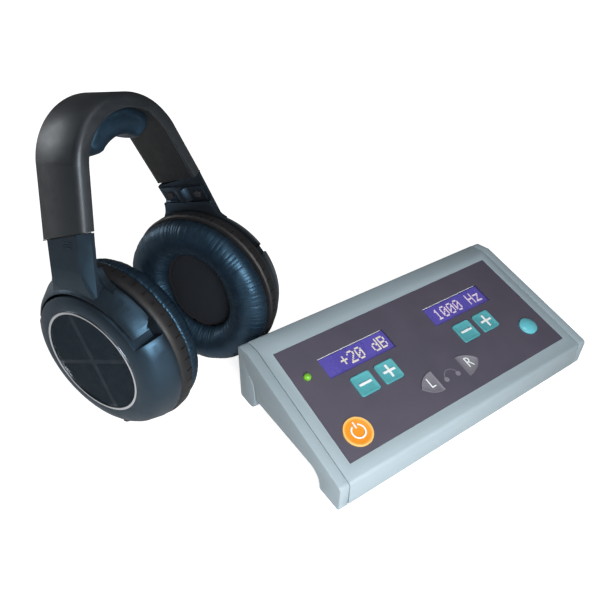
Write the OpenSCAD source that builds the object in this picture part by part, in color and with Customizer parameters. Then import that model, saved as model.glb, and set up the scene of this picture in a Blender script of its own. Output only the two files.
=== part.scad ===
// Audiometer: a wedge-shaped desk console with a keypad panel, and its pair of headphones.
// Sizes are millimetres. +Z is up, the console's front faces -Y, and z = 0 is the table.
// The origin is the middle of the whole set's footprint.

/* [Console] */
// overall width over the two side cheeks
body_w = 216; // [160:1:300]
// overall depth on the table
body_d = 107; // [80:1:160]
// height of the front face
front_h = 20; // [14:0.5:32]
// angle of the sloping top
slope = 15.4; // [6:0.1:25]
// thickness of a side cheek
cheek_t = 6.5; // [4:0.5:12]
// wall thickness of the housing
wall = 2.4; // [1.6:0.1:4]
// height of the underside above the table
under_h = 12.5; // [8:0.5:18]
// length of a foot along the cheek
foot_len = 18.5; // [12:0.5:26]
// gap between housing and cheek, the groove line
groove = 0.4; // [0.2:0.1:1]

/* [Panel] */
// width of the dark panel
panel_w = 188; // [140:1:260]
// depth of the dark panel, measured along the slope
panel_d = 81.5; // [60:0.5:120]
// distance from the front edge to the panel, along the slope
panel_s0 = 9.7; // [6:0.1:20]
// width of a display window
lcd_w = 53; // [40:0.5:70]
// height of a display window
lcd_h = 15.6; // [10:0.2:24]
// distance from the panel's rear edge to a display window
lcd_in = 16.08; // [8:0.01:24]
// distance between a display window and the square keys in front of it
key_gap = 5.36; // [4:0.01:12]
// width of a square key
key_w = 14.6; // [10:0.1:20]
// side-by-side spacing of a pair of square keys
key_pitch = 19; // [14:0.1:28]
// diameter of the power key
power_d = 18.6; // [12:0.2:26]
// diameter of the tone key
tone_d = 12.8; // [8:0.2:18]
// width of an ear key
ear_w = 13.6; // [9:0.1:20]
// height of an ear key
ear_h = 15; // [10:0.1:22]
// diameter of the status lamp
led_d = 5; // [3:0.5:8]
// how far the keys stand above the panel
key_rise = 0.8; // [0.3:0.1:2]
// how far a key goes down
key_travel = 0.6; // [0.2:0.05:1]

/* [Headband] */
// outer radius of the headband at the crown
band_r = 37.8; // [30:0.2:60]
// angle from the crown's middle to the start of a straight leg
band_a = 72; // [60:0.5:85]
// length of a straight leg
band_leg = 40.7; // [30:0.1:60]
// height of the crown's top above the ear cups' centre
band_top = 137; // [115:0.5:165]
// width of the headband
band_w = 38; // [26:0.5:50]
// thickness of the headband
band_t = 8; // [7:0.5:12]
// slant of the leg ends, front edge higher
leg_slant = 12; // [0:1:22]
// thickness of the cushion under the crown
crown_t = 10; // [6:0.5:13]
// half the angle that the cushion covers
crown_a = 57; // [30:1:75]

/* [Ear cups] */
// distance from the middle of the head to the outer face of a cup
face_x = 57.3; // [50:0.1:80]
// radius of the notched ring round a cup
rim_r = 53; // [44:0.5:60]
// thickness of the notched ring
rim_t = 9.2; // [6:0.2:14]
// depth of a cup from the ring to its outer face
cup_depth = 17.4; // [14:0.2:28]
// radius of the silver trim ring
trim_r = 34; // [28:0.5:40]
// thickness of an ear pad
pad_t = 14; // [12:0.2:24]
// radius of the rounded ends of the pad's opening
pad_hole_r = 22.5; // [20:0.5:28]
// how much taller than wide the pad's opening is
pad_hole_tall = 8; // [0:0.5:12]
// number of notches in the ring
notch_n = 44; // [24:1:72]

/* [Pose of the headphones] */
// sideways position of the headphones from the console's middle
hp_x = -136; // [-220:0.1:-100]
// distance of the headphones' middle behind the console's rear edge
hp_back = 45.3; // [40:0.1:130]
// turn of the headphones about the vertical
hp_yaw = 21.4; // [0:0.1:60]
// lean of the headphones to the back
hp_lean = 12.1; // [0:0.1:30]
// turn of the left cup about its arm's hinge
swivel_l = 4; // [0:0.5:12]
// turn of the right cup about its arm's hinge
swivel_r = 10; // [0:0.5:12]
// tilt of the left cup in its yoke, foot outwards when negative
tilt_l = -1; // [-3:0.5:3]
// tilt of the right cup in its yoke
tilt_r = 2; // [-3:0.5:3]

/* [Hidden] */
$fn = 64;
e = 0.01;
bend_s = panel_s0 + panel_d + 6.8;
bend_y = bend_s * cos(slope);
bend_z = front_h + bend_s * sin(slope);
rear_h = bend_z - 1;
house_w = body_w - 2 * cheek_t - 2 * groove;
// keypad layout, from the panel's middle and from its front edge
px0 = -panel_w / 2;
win_row = panel_s0 + panel_d - lcd_in - lcd_h / 2;
key_row = win_row - lcd_h / 2 - key_gap - key_w / 2;
ear_row = panel_s0 + 16.87;
lvl_x = px0 + panel_w * 0.259;
frq_x = px0 + panel_w * 0.733;
lvl_key_x = px0 + panel_w * 0.2595;
frq_key_x = px0 + panel_w * 0.7285;
power_x = px0 + panel_w * 0.0835;
power_s = panel_s0 + 13.448;
tone_x = px0 + panel_w * 0.915;
tone_s = panel_s0 + 19.397;
led_x = px0 + panel_w * 0.0527;
led_s = panel_s0 + panel_d - 23.716;
ear_l_x = px0 + panel_w * 0.401;
ear_r_x = px0 + panel_w * 0.593;
// levels below the panel's face
sheet_t = 0.5;
foot_t = 0.6;
carrier_t = 2;
board_n = -8.2;
board_t = 1.6;
board_s0 = power_s - 3.2;
// sideways position of the headphone socket in the rear wall
jack_x = 14;

// headphones seen from the middle of the head: x outwards, z up from the cups' centre
leg_a = 90 - band_a;
band_h = band_top - band_r;
mid_r = band_r - band_t / 2;
leg_x = mid_r * sin(band_a) + band_leg * cos(band_a);
leg_z = band_h + mid_r * cos(band_a) - band_leg * sin(band_a);
ring_x1 = face_x - cup_depth;
ring_x0 = ring_x1 - rim_t;
drum_r = trim_r + 8.4;
yoke_r = drum_r + 1.7;
yoke_x0 = ring_x1 + 2.2;
yoke_x1 = face_x - 3.2;
pivot_x = yoke_x0 + 6;
pivot_z = 28;
pin_r = 2;
arm_h = 3.3;
// how much thinner the band's legs are than its crown, on every face
thin = 0.02;
hp_y = body_d + hp_back;
hp_z = rim_r + 0.73;
// reach of the set, for the origin
yaw_l = hp_yaw + swivel_l;
yaw_r = hp_yaw + swivel_r;
left_reach = hp_x - (face_x * cos(yaw_l) + 40.5 * sin(yaw_l)) - 1.4;
back_reach = hp_y + sin(yaw_r) * face_x + cos(yaw_r) * 40.5 - 7.2;
mid_x = (left_reach + body_w / 2) / 2;
mid_y = back_reach / 2;

// ---------- frames ----------

// points of an arc about (cx, cy)
function arc(cx, cy, r, a0, a1, n = 8) =
  [for (i = [0:n]) [cx + r * cos(a0 + (a1 - a0) * i / n), cy + r * sin(a0 + (a1 - a0) * i / n)]];

// console frame: x from its middle, y back from its front edge
module on_console() {
  translate([-mid_x, -mid_y, 0])
    children();
}

// panel frame: x from its middle, y up the slope, z out of the panel
module on_panel() {
  on_console()
    translate([0, 0, front_h])
      rotate([slope, 0, 0])
        children();
}

// headphone frame: x from left cup to right cup, y back, z up the headband
module on_band() {
  on_console()
    translate([hp_x, hp_y, hp_z])
      rotate([0, 0, hp_yaw])
        rotate([-hp_lean, 0, 0])
          children();
}

// children as they are on the right, mirrored on the left
module scale_side(side) {
  if (side > 0) children();
  else mirror([1, 0, 0]) children();
}

// one side of the headphones, +X away from the head
module on_side(side) {
  on_band()
    scale_side(side)
      children();
}

// frame of a headband leg: origin in its end face, z up the leg, x outwards
module in_leg() {
  translate([leg_x, 0, leg_z])
    rotate([0, -leg_a, 0])
      children();
}

// an arm with its yoke, turned about the leg's axis
module on_arm(side) {
  on_side(side)
    in_leg()
      rotate([0, 0, side > 0 ? swivel_r : -swivel_l])
        rotate([0, leg_a, 0])
          translate([-leg_x, 0, -leg_z])
            children();
}

// a cup, tilted in its yoke
module on_cup(side) {
  tilt = side > 0 ? tilt_r : tilt_l;
  on_arm(side)
    translate([pivot_x, 0, pivot_z])
      rotate([0, tilt, 0])
        translate([-pivot_x, 0, -pivot_z])
          children();
}

// a body of revolution about the cup's axis, from [radius, x] points; 180 degrees is up
module turned(pts, a0 = 0, sweep = 360) {
  rotate([0, 90, 0])
    rotate([0, 0, a0])
      rotate_extrude(angle = sweep, $fn = 96)
        polygon(pts);
}

// a profile of [y, z] points drawn out along x, centred
module along_x(len, pts) {
  translate([-len / 2, 0, 0])
    rotate([90, 0, 90])
      linear_extrude(len)
        polygon(pts);
}

// ---------- console shapes ----------

// side outline of the housing, inset by d, down to z = low
function wedge(d, low) = concat(
  [[d, low]],
  arc(2.5 + d * 0.4, front_h - 2.2 - d * 0.8, 2.5 - d * 0.6, 180, 90 + slope, 5),
  [[bend_y - d * 0.2, bend_z - d * 1.02]],
  arc(body_d - 2.5 - d * 0.4, rear_h - 2.5 - d * 0.6, 2.5 - d * 0.6, 86, 0, 5),
  [[body_d - d, low]]);

// outline of a cheek with its two feet
function cheek_top() = concat(
  [[0.3, foot_t + 1]],
  arc(3, front_h - 2.4, 3, 180, 90 + slope, 6),
  [[bend_y, bend_z]],
  arc(body_d - 3, rear_h - 3, 3, 86, 0, 6),
  [[body_d, foot_t + 1.5], [body_d - 1.5, foot_t]],
  arc(body_d - foot_len + 8, foot_t + 8, 8, 270, 180, 8),
  [[body_d - foot_len + 0.1, under_h + 5], [body_d - foot_len + 1.7, under_h + 11.5],
   [body_d - foot_len + 5.4, under_h + 15.6], [body_d - foot_len + 4.6, under_h + 16.4],
   [body_d - foot_len + 0.2, under_h + 12.4], [body_d - foot_len - 2, under_h + 6],
   [body_d - foot_len - 2.3, under_h]],
  arc(foot_len + 9, under_h - 9, 9, 90, 180, 8),
  arc(foot_len - 1.5, foot_t + 1.5, 1.5, 0, -90, 4),
  [[1.3, foot_t]]);

module cheek(side) {
  color([0.66, 0.74, 0.75])
    on_console()
      translate([side * (body_w - cheek_t) / 2, 0, 0])
        difference() {
          along_x(cheek_t, cheek_top());
          // recess for the housing's end: lightens the cheek from inside
          translate([-side * (cheek_t - 3), 0, 0])
            along_x(cheek_t, [[8, under_h + 3], [8, front_h - 3], [bend_y - 2, bend_z - 5],
              [body_d - 8, rear_h - 5], [body_d - 8, 33], [70, under_h + 3]]);
        }
}

// a rounded rectangle centred on the origin
module round_rect(w, h, r) {
  square([w - 2 * r, h], center = true);
  square([w, h - 2 * r], center = true);
  for (sx = [-1, 1])
    for (sy = [-1, 1])
      translate([sx * (w / 2 - r), sy * (h / 2 - r)])
        circle(r, $fn = 24);
}

// ear key outline: straight on one side, curved to a point on the other; grow widens it all round
module ear_shape(side, grow) {
  rad = (ear_w * ear_w + ear_h * ear_h / 4) / ear_h;
  scale_side(side)
    intersection() {
      translate([-ear_w / 2 - grow, -ear_h / 2 - grow])
        square([ear_w + 2 * grow, ear_h + 2 * grow]);
      translate([-ear_w / 2, ear_h / 2 - rad])
        circle(rad + grow, $fn = 96);
      translate([-ear_w / 2, rad - ear_h / 2])
        circle(rad + grow, $fn = 96);
    }
}

// every opening that the keys need, grow = clearance
module key_holes(grow) {
  for (x = [lvl_key_x, frq_key_x])
    for (s = [-1, 1])
      translate([x + s * key_pitch / 2, key_row])
        round_rect(key_w + 2 * grow, key_w + 2 * grow, 1.6);
  translate([ear_l_x, ear_row])
    ear_shape(-1, grow);
  translate([ear_r_x, ear_row])
    ear_shape(1, grow);
  translate([power_x, power_s])
    circle(power_d / 2 + grow);
  translate([tone_x, tone_s])
    circle(tone_d / 2 + grow);
  translate([led_x, led_s])
    circle(led_d / 2 + 0.15);
}

module window_holes(grow) {
  for (x = [lvl_x, frq_x])
    translate([x, win_row])
      square([lcd_w + 2 * grow, lcd_h + 2 * grow], center = true);
}

module housing_shell() {
  color([0.68, 0.76, 0.77])
    difference() {
      union() {
        on_console()
          difference() {
            along_x(house_w, wedge(0, 2));
            along_x(house_w + 2, wedge(wall, -1));
            // open underneath, behind the front wall
            translate([-house_w, 14, -2])
              cube([2 * house_w, body_d, under_h + 2]);
          }
        // posts for the base screws
        on_console()
          base_points()
            translate([0, 0, under_h + 2.2])
              cylinder(h = $skin_z - 1.2 - under_h - 2.2, r = 3.4);
        // ledge that carries the panel
        on_panel()
          translate([0, panel_s0 + panel_d / 2, -2.7 - 1.3])
            cube([panel_w + 3, panel_d + 3, 2.6], center = true);
      }
      // pocket for the panel and the opening under it
      on_panel()
        translate([0, panel_s0 + panel_d / 2, 0]) {
          translate([-panel_w / 2, -panel_d / 2, -2.7])
            cube([panel_w, panel_d, 10]);
          translate([-panel_w / 2 + 3, -panel_d / 2 + 3, -20])
            cube([panel_w - 6, panel_d - 6, 30]);
        }
      // screw holes and the socket holes in the rear wall
      on_console() {
        base_points()
          translate([0, 0, under_h])
            cylinder(h = 10, r = 1.5);
        translate([jack_x, body_d, 30])
          rotate([90, 0, 0])
            cylinder(h = 12, r = 4.6, center = true);
        translate([70, body_d, 30])
          rotate([90, 0, 0])
            cylinder(h = 12, r = 4.1, center = true);
      }
    }
}

// height of the console's top face, y behind the front edge
function skin_at(y) =
  y < bend_y ? front_h + y * tan(slope) : bend_z + (rear_h - bend_z) * (y - bend_y) / (body_d - bend_y);

// the four base screws; $skin_z is the height of the top face over each
module base_points() {
  for (x = [-1, 1])
    for (y = [24, body_d - 22]) {
      $skin_z = skin_at(y);
      translate([x * (house_w / 2 - 5), y, 0])
        children();
    }
}

module base_plate() {
  color([0.6, 0.68, 0.69])
    on_console()
      difference() {
        along_x(house_w - 0.2, [[wall + 0.2, 1.2], [14, 1.2], [14, under_h],
          [body_d - wall - 0.2, under_h], [body_d - wall - 0.2, under_h + 2],
          [12, under_h + 2], [12, 3.2], [wall + 0.2, 3.2]]);
        base_points()
          translate([0, 0, under_h - 1])
            cylinder(h = 6, r = 1.7);
      }
}

module base_screws() {
  color([0.55, 0.55, 0.56])
    on_console()
      base_points() {
        translate([0, 0, under_h - 1.8])
          cylinder(h = 1.8, r = 2.8);
        translate([0, 0, under_h - 0.5])
          cylinder(h = 9, r = 1.45);
      }
}

module left_cheek() {
  cheek(-1);
}

module right_cheek() {
  cheek(1);
}

module rubber_feet() {
  color([0.12, 0.12, 0.13])
    on_console()
      for (x = [-1, 1])
        for (y = [foot_len / 2 + 0.6, body_d - foot_len / 2 + 2])
          translate([x * (body_w - cheek_t) / 2, y, 0])
            translate([-cheek_t * 0.35, -foot_len * 0.34, 0])
              cube([cheek_t * 0.7, foot_len * 0.68, foot_t]);
}

// ---------- panel ----------

module panel_overlay() {
  color([0.23, 0.21, 0.25])
    on_panel()
      translate([0, 0, -sheet_t])
        linear_extrude(sheet_t)
          difference() {
            translate([0, panel_s0 + panel_d / 2])
              square([panel_w - 0.3, panel_d - 0.3], center = true);
            key_holes(0.25);
            window_holes(0);
          }
}

module panel_carrier() {
  color([0.3, 0.3, 0.32])
    on_panel()
      difference() {
        translate([0, 0, -2.65])
          linear_extrude(carrier_t + 0.1)
            difference() {
              translate([0, panel_s0 + panel_d / 2])
                square([panel_w - 0.4, panel_d - 0.4], center = true);
              key_holes(0.25);
              window_holes(0.1);
            }
      }
}

module window_pane(x) {
  color([0.2, 0.2, 0.45, 0.45])
    on_panel()
      translate([x, win_row, -1.55])
        linear_extrude(1.5)
          square([lcd_w - 0.1, lcd_h - 0.1], center = true);
}

module level_window() {
  window_pane(lvl_x);
}

module frequency_window() {
  window_pane(frq_x);
}

// display module: framed board with a raised glass
module display(x) {
  color([0.3, 0.24, 0.62])
    on_panel()
      translate([x, win_row, 0]) {
        translate([0, 0, -2.4 - 0.35])
          cube([lcd_w - 0.4, lcd_h - 0.4, 2.3], center = true);
        translate([0, 0, -5.2])
          cube([lcd_w + 5, lcd_h + 5, 5], center = true);
      }
}

module level_display() {
  display(lvl_x);
}

module frequency_display() {
  display(frq_x);
}

module status_led() {
  color([0.35, 0.8, 0.1])
    on_panel()
      translate([led_x, led_s, 0]) {
        translate([0, 0, board_n])
          cylinder(h = -board_n, r = led_d / 2);
        sphere(led_d / 2);
      }
}

// stem and retaining flange under a key cap; the cap itself is given as a 2D outline
module key_body(x, s) {
  on_panel()
    translate([x, s, 0]) {
      translate([0, 0, -4.1])
        linear_extrude(4.1 + key_rise)
          children(0);
      translate([0, 0, -4.1])
        linear_extrude(1.2)
          children(1);
    }
}

module square_key(x) {
  color([0.25, 0.62, 0.66])
    key_body(x, key_row) {
      round_rect(key_w, key_w, 1.5);
      square([key_w + 1.6, key_w + 1.6], center = true);
    }
}

module level_down_key() {
  square_key(lvl_key_x - key_pitch / 2);
}

module level_up_key() {
  square_key(lvl_key_x + key_pitch / 2);
}

module frequency_down_key() {
  square_key(frq_key_x - key_pitch / 2);
}

module frequency_up_key() {
  square_key(frq_key_x + key_pitch / 2);
}

module left_ear_key() {
  color([0.45, 0.44, 0.49])
    key_body(ear_l_x, ear_row) {
      ear_shape(-1, 0);
      ear_shape(-1, 0.8);
    }
}

module right_ear_key() {
  color([0.45, 0.44, 0.49])
    key_body(ear_r_x, ear_row) {
      ear_shape(1, 0);
      ear_shape(1, 0.8);
    }
}

module tone_key() {
  color([0.3, 0.75, 0.85])
    union() {
      key_body(tone_x, tone_s) {
        circle(tone_d / 2);
        circle(tone_d / 2 + 0.8);
      }
      // domed cap
      on_panel()
        translate([tone_x, tone_s, key_rise - e])
          intersection() {
            translate([0, 0, -tone_d * 0.9])
              sphere(tone_d * 1.05);
            cylinder(h = tone_d, r = tone_d / 2);
          }
    }
}

module power_key() {
  color([0.96, 0.6, 0.12])
    key_body(power_x, power_s) {
      circle(power_d / 2);
      circle(power_d / 2 + 0.7);
    }
}

// ---------- inside the console ----------

// the posts that hang the board from the panel's carrier
module board_points() {
  for (x = [-0.34, 0, 0.36])
    for (s = [board_s0 + 3.5, panel_s0 + panel_d - 7])
      translate([x * panel_w, s, 0])
        children();
}

module board_spacers() {
  color([0.75, 0.76, 0.78])
    on_panel()
      board_points()
        translate([0, 0, board_n + 0.02])
          difference() {
            cylinder(h = -2.7 - board_n, r = 2.5);
            translate([0, 0, -1])
              cylinder(h = 5, r = 1.3);
          }
}

module board_screws() {
  color([0.6, 0.6, 0.62])
    on_panel()
      board_points() {
        translate([0, 0, board_n - board_t - 1.6])
          cylinder(h = 1.58, r = 2.4);
        translate([0, 0, board_n - board_t - 0.5])
          cylinder(h = 4.5, r = 1.25);
      }
}

module main_board() {
  color([0.1, 0.35, 0.2])
    on_panel()
      difference() {
        translate([-panel_w / 2 + 4, board_s0, board_n - board_t])
          cube([panel_w - 8, panel_s0 + panel_d - 3.5 - board_s0, board_t]);
        board_points()
          translate([0, 0, board_n - board_t - 1])
            cylinder(h = board_t + 2, r = 1.5);
      }
}

// one push switch under every key
module key_switches() {
  gap = key_travel + 0.15;
  color([0.15, 0.15, 0.16])
    on_panel()
      for (p = [[lvl_key_x - key_pitch / 2, key_row], [lvl_key_x + key_pitch / 2, key_row],
                [frq_key_x - key_pitch / 2, key_row], [frq_key_x + key_pitch / 2, key_row],
                [ear_l_x, ear_row], [ear_r_x, ear_row], [power_x, power_s], [tone_x, tone_s]])
        translate([p[0], p[1], board_n]) {
          translate([-3, -3, 0])
            cube([6, 6, -board_n - 4.1 - gap - 1]);
          cylinder(h = -board_n - 4.1 - gap, r = 1.7);
        }
}

// 6.3 mm stereo socket in the rear wall
module headphone_jack() {
  color([0.13, 0.13, 0.14])
    on_console()
      translate([jack_x, body_d, 30])
        rotate([-90, 0, 0])
          difference() {
            union() {
              translate([0, 0, -wall - 14])
                cylinder(h = 14, r = 7);
              translate([0, 0, -wall - 1])
                cylinder(h = wall + 2.4, r = 4.5);
              cylinder(h = 1.6, r = 6.5);
            }
            translate([0, 0, -wall - 12])
              cylinder(h = 30, r = 3.25);
          }
}

// low-voltage supply socket in the rear wall
module power_jack() {
  color([0.13, 0.13, 0.14])
    on_console()
      translate([70, body_d, 30])
        rotate([-90, 0, 0])
          difference() {
            union() {
              translate([0, 0, -wall - 11])
                cylinder(h = 11, r = 6);
              translate([0, 0, -wall - 1])
                cylinder(h = wall + 1.8, r = 4);
              cylinder(h = 1.2, r = 5.5);
            }
            difference() {
              translate([0, 0, -wall - 9])
                cylinder(h = 30, r = 2.8);
              translate([0, 0, -wall - 10])
                cylinder(h = 10.5, r = 1);
            }
          }
}

// ---------- headband ----------

// the U section of the shell as [radius, width] points, drawn in by d on every face
function shell_pts(d) =
  let (w2 = band_w / 2 - d, r1 = band_r - d, r0 = band_r - band_t + d)
  [[r0, -w2], [r1 - 3.4, -w2], [r1 - 1.6, -w2 + 0.8], [r1, -w2 + 3.4],
    [r1, w2 - 3.4], [r1 - 1.6, w2 - 0.8], [r1 - 3.4, w2], [r0, w2],
    [r0, w2 - 2.2 + 2 * d], [r1 - 3.8 + 2 * d, w2 - 2.2 + 2 * d],
    [r1 - 2.2 + 2 * d, w2 - 4.4 + 2 * d], [r1 - 2.2 + 2 * d, -w2 + 4.4 - 2 * d],
    [r1 - 3.8 + 2 * d, -w2 + 2.2 - 2 * d], [r0, -w2 + 2.2 - 2 * d]];

// the flat section of the liner, drawn in by d on every face
function liner_pts(d) =
  let (r0 = band_r - band_t + d, r1 = band_r - band_t + 1.8 - d, w2 = band_w / 2 - 2.4 - d)
  [[r0, -w2], [r1, -w2], [r1, w2], [r0, w2]];

// an arc of a [radius, width] profile round the crown
module crown_arc(pts, a) {
  translate([0, 0, band_h])
    rotate([90, 0, 0])
      rotate([0, 0, 90 - a])
        rotate_extrude(angle = 2 * a, $fn = 128)
          polygon(pts);
}

// a section along the crown, and down both legs in a section a hair thinner, whose ends
// lie inside the crown's
module arched(pts, leg_pts, leg) {
  crown_arc(pts, band_a);
  for (side = [-1, 1])
    scale_side(side)
      in_leg()
        translate([-mid_r, 0, band_leg - leg])
          linear_extrude(leg + 0.5)
            polygon(leg_pts);
}

// what the slanted end takes off both legs
module leg_ends() {
  for (side = [-1, 1])
    scale_side(side)
      in_leg()
        translate([0, band_w / 2, 0])
          rotate([-leg_slant, 0, 0])
            translate([-20, -60, -30])
              cube([40, 80, 30]);
}

module headband_shell() {
  color([0.13, 0.14, 0.16])
    on_band()
      difference() {
        arched(shell_pts(0), shell_pts(thin), band_leg);
        leg_ends();
      }
}

module headband_liner() {
  color([0.08, 0.08, 0.09])
    on_band()
      difference() {
        union() {
          arched(liner_pts(0), liner_pts(thin), band_leg);
          // beds for the slider strips
          for (side = [-1, 1])
            scale_side(side)
              in_leg()
                translate([-band_t / 2 + 1, -7, 8])
                  cube([band_t / 2 - 1.9, 14, band_leg - 9]);
        }
        leg_ends();
      }
}

// spring steel strip under the skin of the crown
module headband_spring() {
  r0 = band_r - band_t + 1.9;
  color([0.7, 0.71, 0.73])
    on_band()
      crown_arc([[r0, -7], [r0 + 0.8, -7], [r0 + 0.8, 7], [r0, 7]], band_a - 4);
}

// crowned section of the cushion: [radius, width] points
function crown_pts() =
  let (r0 = band_r - band_t - 0.1, w2 = band_w / 2 - 2)
  concat([[r0, -w2], [r0, w2]],
    [for (i = [0:10])
      let (a = 180 * i / 10)
      [r0 - crown_t * (0.3 + 0.7 * pow(sin(a), 0.7)), w2 * cos(a)]]);

module headband_pad() {
  r1 = band_r - band_t - crown_t;
  color([0.1, 0.11, 0.13])
    on_band()
      difference() {
        crown_arc(crown_pts(), crown_a);
        // the ends draw in below and at both sides
        for (side = [-1, 1])
          scale_side(side)
            translate([0, 0, band_h])
              rotate([0, crown_a, 0]) {
                translate([0, 0, r1])
                  rotate([0, 45, 0])
                    cube([11, band_w, 11], center = true);
                for (s = [-1, 1])
                  translate([0, s * (band_w / 2 - 2), r1])
                    rotate([0, 0, 45])
                      cube([8, 8, 3 * crown_t], center = true);
              }
      }
}

// ---------- arms, hinges and yokes ----------

// lower end of the slider's strip, clear of the arm's slanted top
function slider_z0() = (arm_w2() + 7) * tan(leg_slant) + 0.6;

// height of the leg's slanted end, y from its middle
function leg_end(y) = (band_w / 2 - y) * tan(leg_slant);

// flat strip that slides in the headband, with a shoulder that fills the leg's mouth and the
// hinge pin below it
module slider(side) {
  color([0.12, 0.13, 0.15])
    on_side(side)
      in_leg() {
        translate([-0.8, -7, slider_z0()])
          cube([1.6, 14, band_leg - 2.4 - slider_z0()]);
        translate([-0.8, 0, 0])
          rotate([90, 0, 90])
            linear_extrude(2.2)
              polygon([[-14, leg_end(-14) - 0.35], [14, leg_end(14) - 0.35], [14, leg_end(14) + 8.6],
                [-14, leg_end(-14) + 8.6]]);
        translate([0, 0, -11])
          cylinder(h = 14, r = pin_r);
        cylinder(h = slider_z0() + 0.5, r = 1.5);
      }
}

module left_slider() {
  slider(-1);
}

module right_slider() {
  slider(1);
}

// half width of the arm
function arm_w2() = band_w / 2 - 0.8;

// height of the centres of the fillets between the arm and the crescent
function flare_z() = sqrt(pow(rim_r + 13.2, 2) - pow(arm_w2() + 14, 2));

// slab from under the headband leg down into the crescent
module arm_slab() {
  w2 = arm_w2();
  difference() {
    union() {
      // upper end, its top cut along the slant of the leg
      in_leg()
        translate([-arm_h, 0, 0])
          rotate([90, 0, 90])
            linear_extrude(2 * arm_h)
              polygon([[w2, -13], [w2, -0.45], [-w2, 2 * w2 * tan(leg_slant) - 0.45], [-w2, -13]]);
      rotate([90, 0, 0])
        translate([0, 0, -w2])
          linear_extrude(2 * w2)
            polygon([[leg_x + 5, leg_z - 6], [yoke_x1 - 2, rim_r + 4], [yoke_x1 - 1.2, rim_r - 2],
              [yoke_x1 - 1, yoke_r - 8], [yoke_x0, yoke_r - 8], [yoke_x0, rim_r + 1.5],
              [leg_x + 0.4, leg_z - 11.6], [leg_x - 0.4, leg_z - 9]]);
    }
    // seat of the hinge cover
    in_leg()
      translate([-arm_h - 12, -16.9, -11.2])
        cube([12, 33.8, 11.2]);
    // long chamfers down the outer edges
    for (s = [-1, 1])
      translate([leg_x + 5.9, s * (w2 - 0.9), leg_z - 6.5])
        rotate([0, -16, 0])
          rotate([0, 0, s * 36])
            cube([7, 16, 80], center = true);
  }
}

module arm_body() {
  w2 = arm_w2();
  difference() {
    union() {
      // crescent round the top of the cup
      turned([[yoke_r, yoke_x0], [rim_r - 0.8, yoke_x0], [rim_r - 1.1, yoke_x0 + 2],
        [yoke_r + 3.4, yoke_x1 - 2.6], [yoke_r + 1.6, yoke_x1 - 0.8], [yoke_r + 0.6, yoke_x1],
        [yoke_r, yoke_x1]], 120, 120);
      difference() {
        union() {
          arm_slab();
          // fillets where the slab meets the crescent
          translate([yoke_x0, 0, 0])
            rotate([90, 0, 90])
              linear_extrude(4)
                polygon(concat([[-w2, flare_z()]], arc(-w2 - 14, flare_z(), 14, 0, -60, 8),
                  [[-w2 - 6, 30], [w2 + 6, 30]], arc(w2 + 14, flare_z(), 14, 240, 180, 8)));
        }
        rotate([0, 90, 0])
          cylinder(h = 80, r = yoke_r, $fn = 96);
      }
      // finger ridges near the headband
      in_leg()
        for (i = [0:2])
          translate([arm_h - 0.3, -7, 1 - 1.4 * i])
            cube([0.8, 6, 0.6]);
    }
    // corners of the crescent's ends
    for (s = [-1, 1])
      rotate([-s * 60, 0, 0])
        translate([yoke_x0, -s * 1.2, rim_r])
          rotate([0, 0, 45])
            cube([6.4, 6.4, 30], center = true);
    // bore for the hinge pin
    in_leg()
      translate([0, 0, -12])
        cylinder(h = 24, r = pin_r + 0.05);
    // bores for the pivot pins
    for (s = [-1, 1])
      translate([pivot_x, s * 34, pivot_z])
        rotate([90, 0, 0])
          cylinder(h = 9, r = pin_r + 0.02, center = true);
    // screw holes of the hinge cover
    in_leg()
      for (s = [-1, 1])
        translate([-arm_h - 1, s * 11, -6.5])
          rotate([0, 90, 0])
            cylinder(h = 5, r = 1.3);
  }
}

module left_arm() {
  color([0.12, 0.13, 0.15])
    on_arm(-1)
      arm_body();
}

module right_arm() {
  color([0.12, 0.13, 0.15])
    on_arm(1)
      arm_body();
}

// cover plate with the half-round hinge housing, inside the arm
module hinge_cover(side) {
  color([0.1, 0.11, 0.13])
    on_arm(side)
      in_leg()
        difference() {
          union() {
            translate([-arm_h - 1.6, -16.5, -10.8])
              cube([1.55, 33, 9.8]);
            intersection() {
              translate([-arm_h - 0.05, 0, -10.8])
                cylinder(h = 9.8, r = 5.2);
              translate([-arm_h - 20.05, -20, -20])
                cube([20, 40, 40]);
            }
          }
          for (s = [-1, 1])
            translate([-arm_h - 4, s * 11, -6.5])
              rotate([0, 90, 0])
                cylinder(h = 8, r = 1.5);
        }
}

module left_hinge_cover() {
  hinge_cover(-1);
}

module right_hinge_cover() {
  hinge_cover(1);
}

module cover_screws(side) {
  color([0.2, 0.2, 0.21])
    on_arm(side)
      in_leg()
        for (s = [-1, 1])
          translate([-arm_h, s * 11, -6.5])
            rotate([0, 90, 0]) {
              translate([0, 0, -2.4])
                cylinder(h = 0.78, r = 2.3);
              translate([0, 0, -2])
                cylinder(h = 5.4, r = 1.25);
            }
}

module left_cover_screws() {
  cover_screws(-1);
}

module right_cover_screws() {
  cover_screws(1);
}

module pivot_pins(side) {
  color([0.7, 0.71, 0.73])
    on_arm(side)
      for (s = [-1, 1])
        translate([pivot_x, s * 33, pivot_z])
          rotate([90, 0, 0])
            cylinder(h = 10.8, r = pin_r, center = true);
}

module left_pivot_pins() {
  pivot_pins(-1);
}

module right_pivot_pins() {
  pivot_pins(1);
}

// ---------- ear cups ----------

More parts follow.
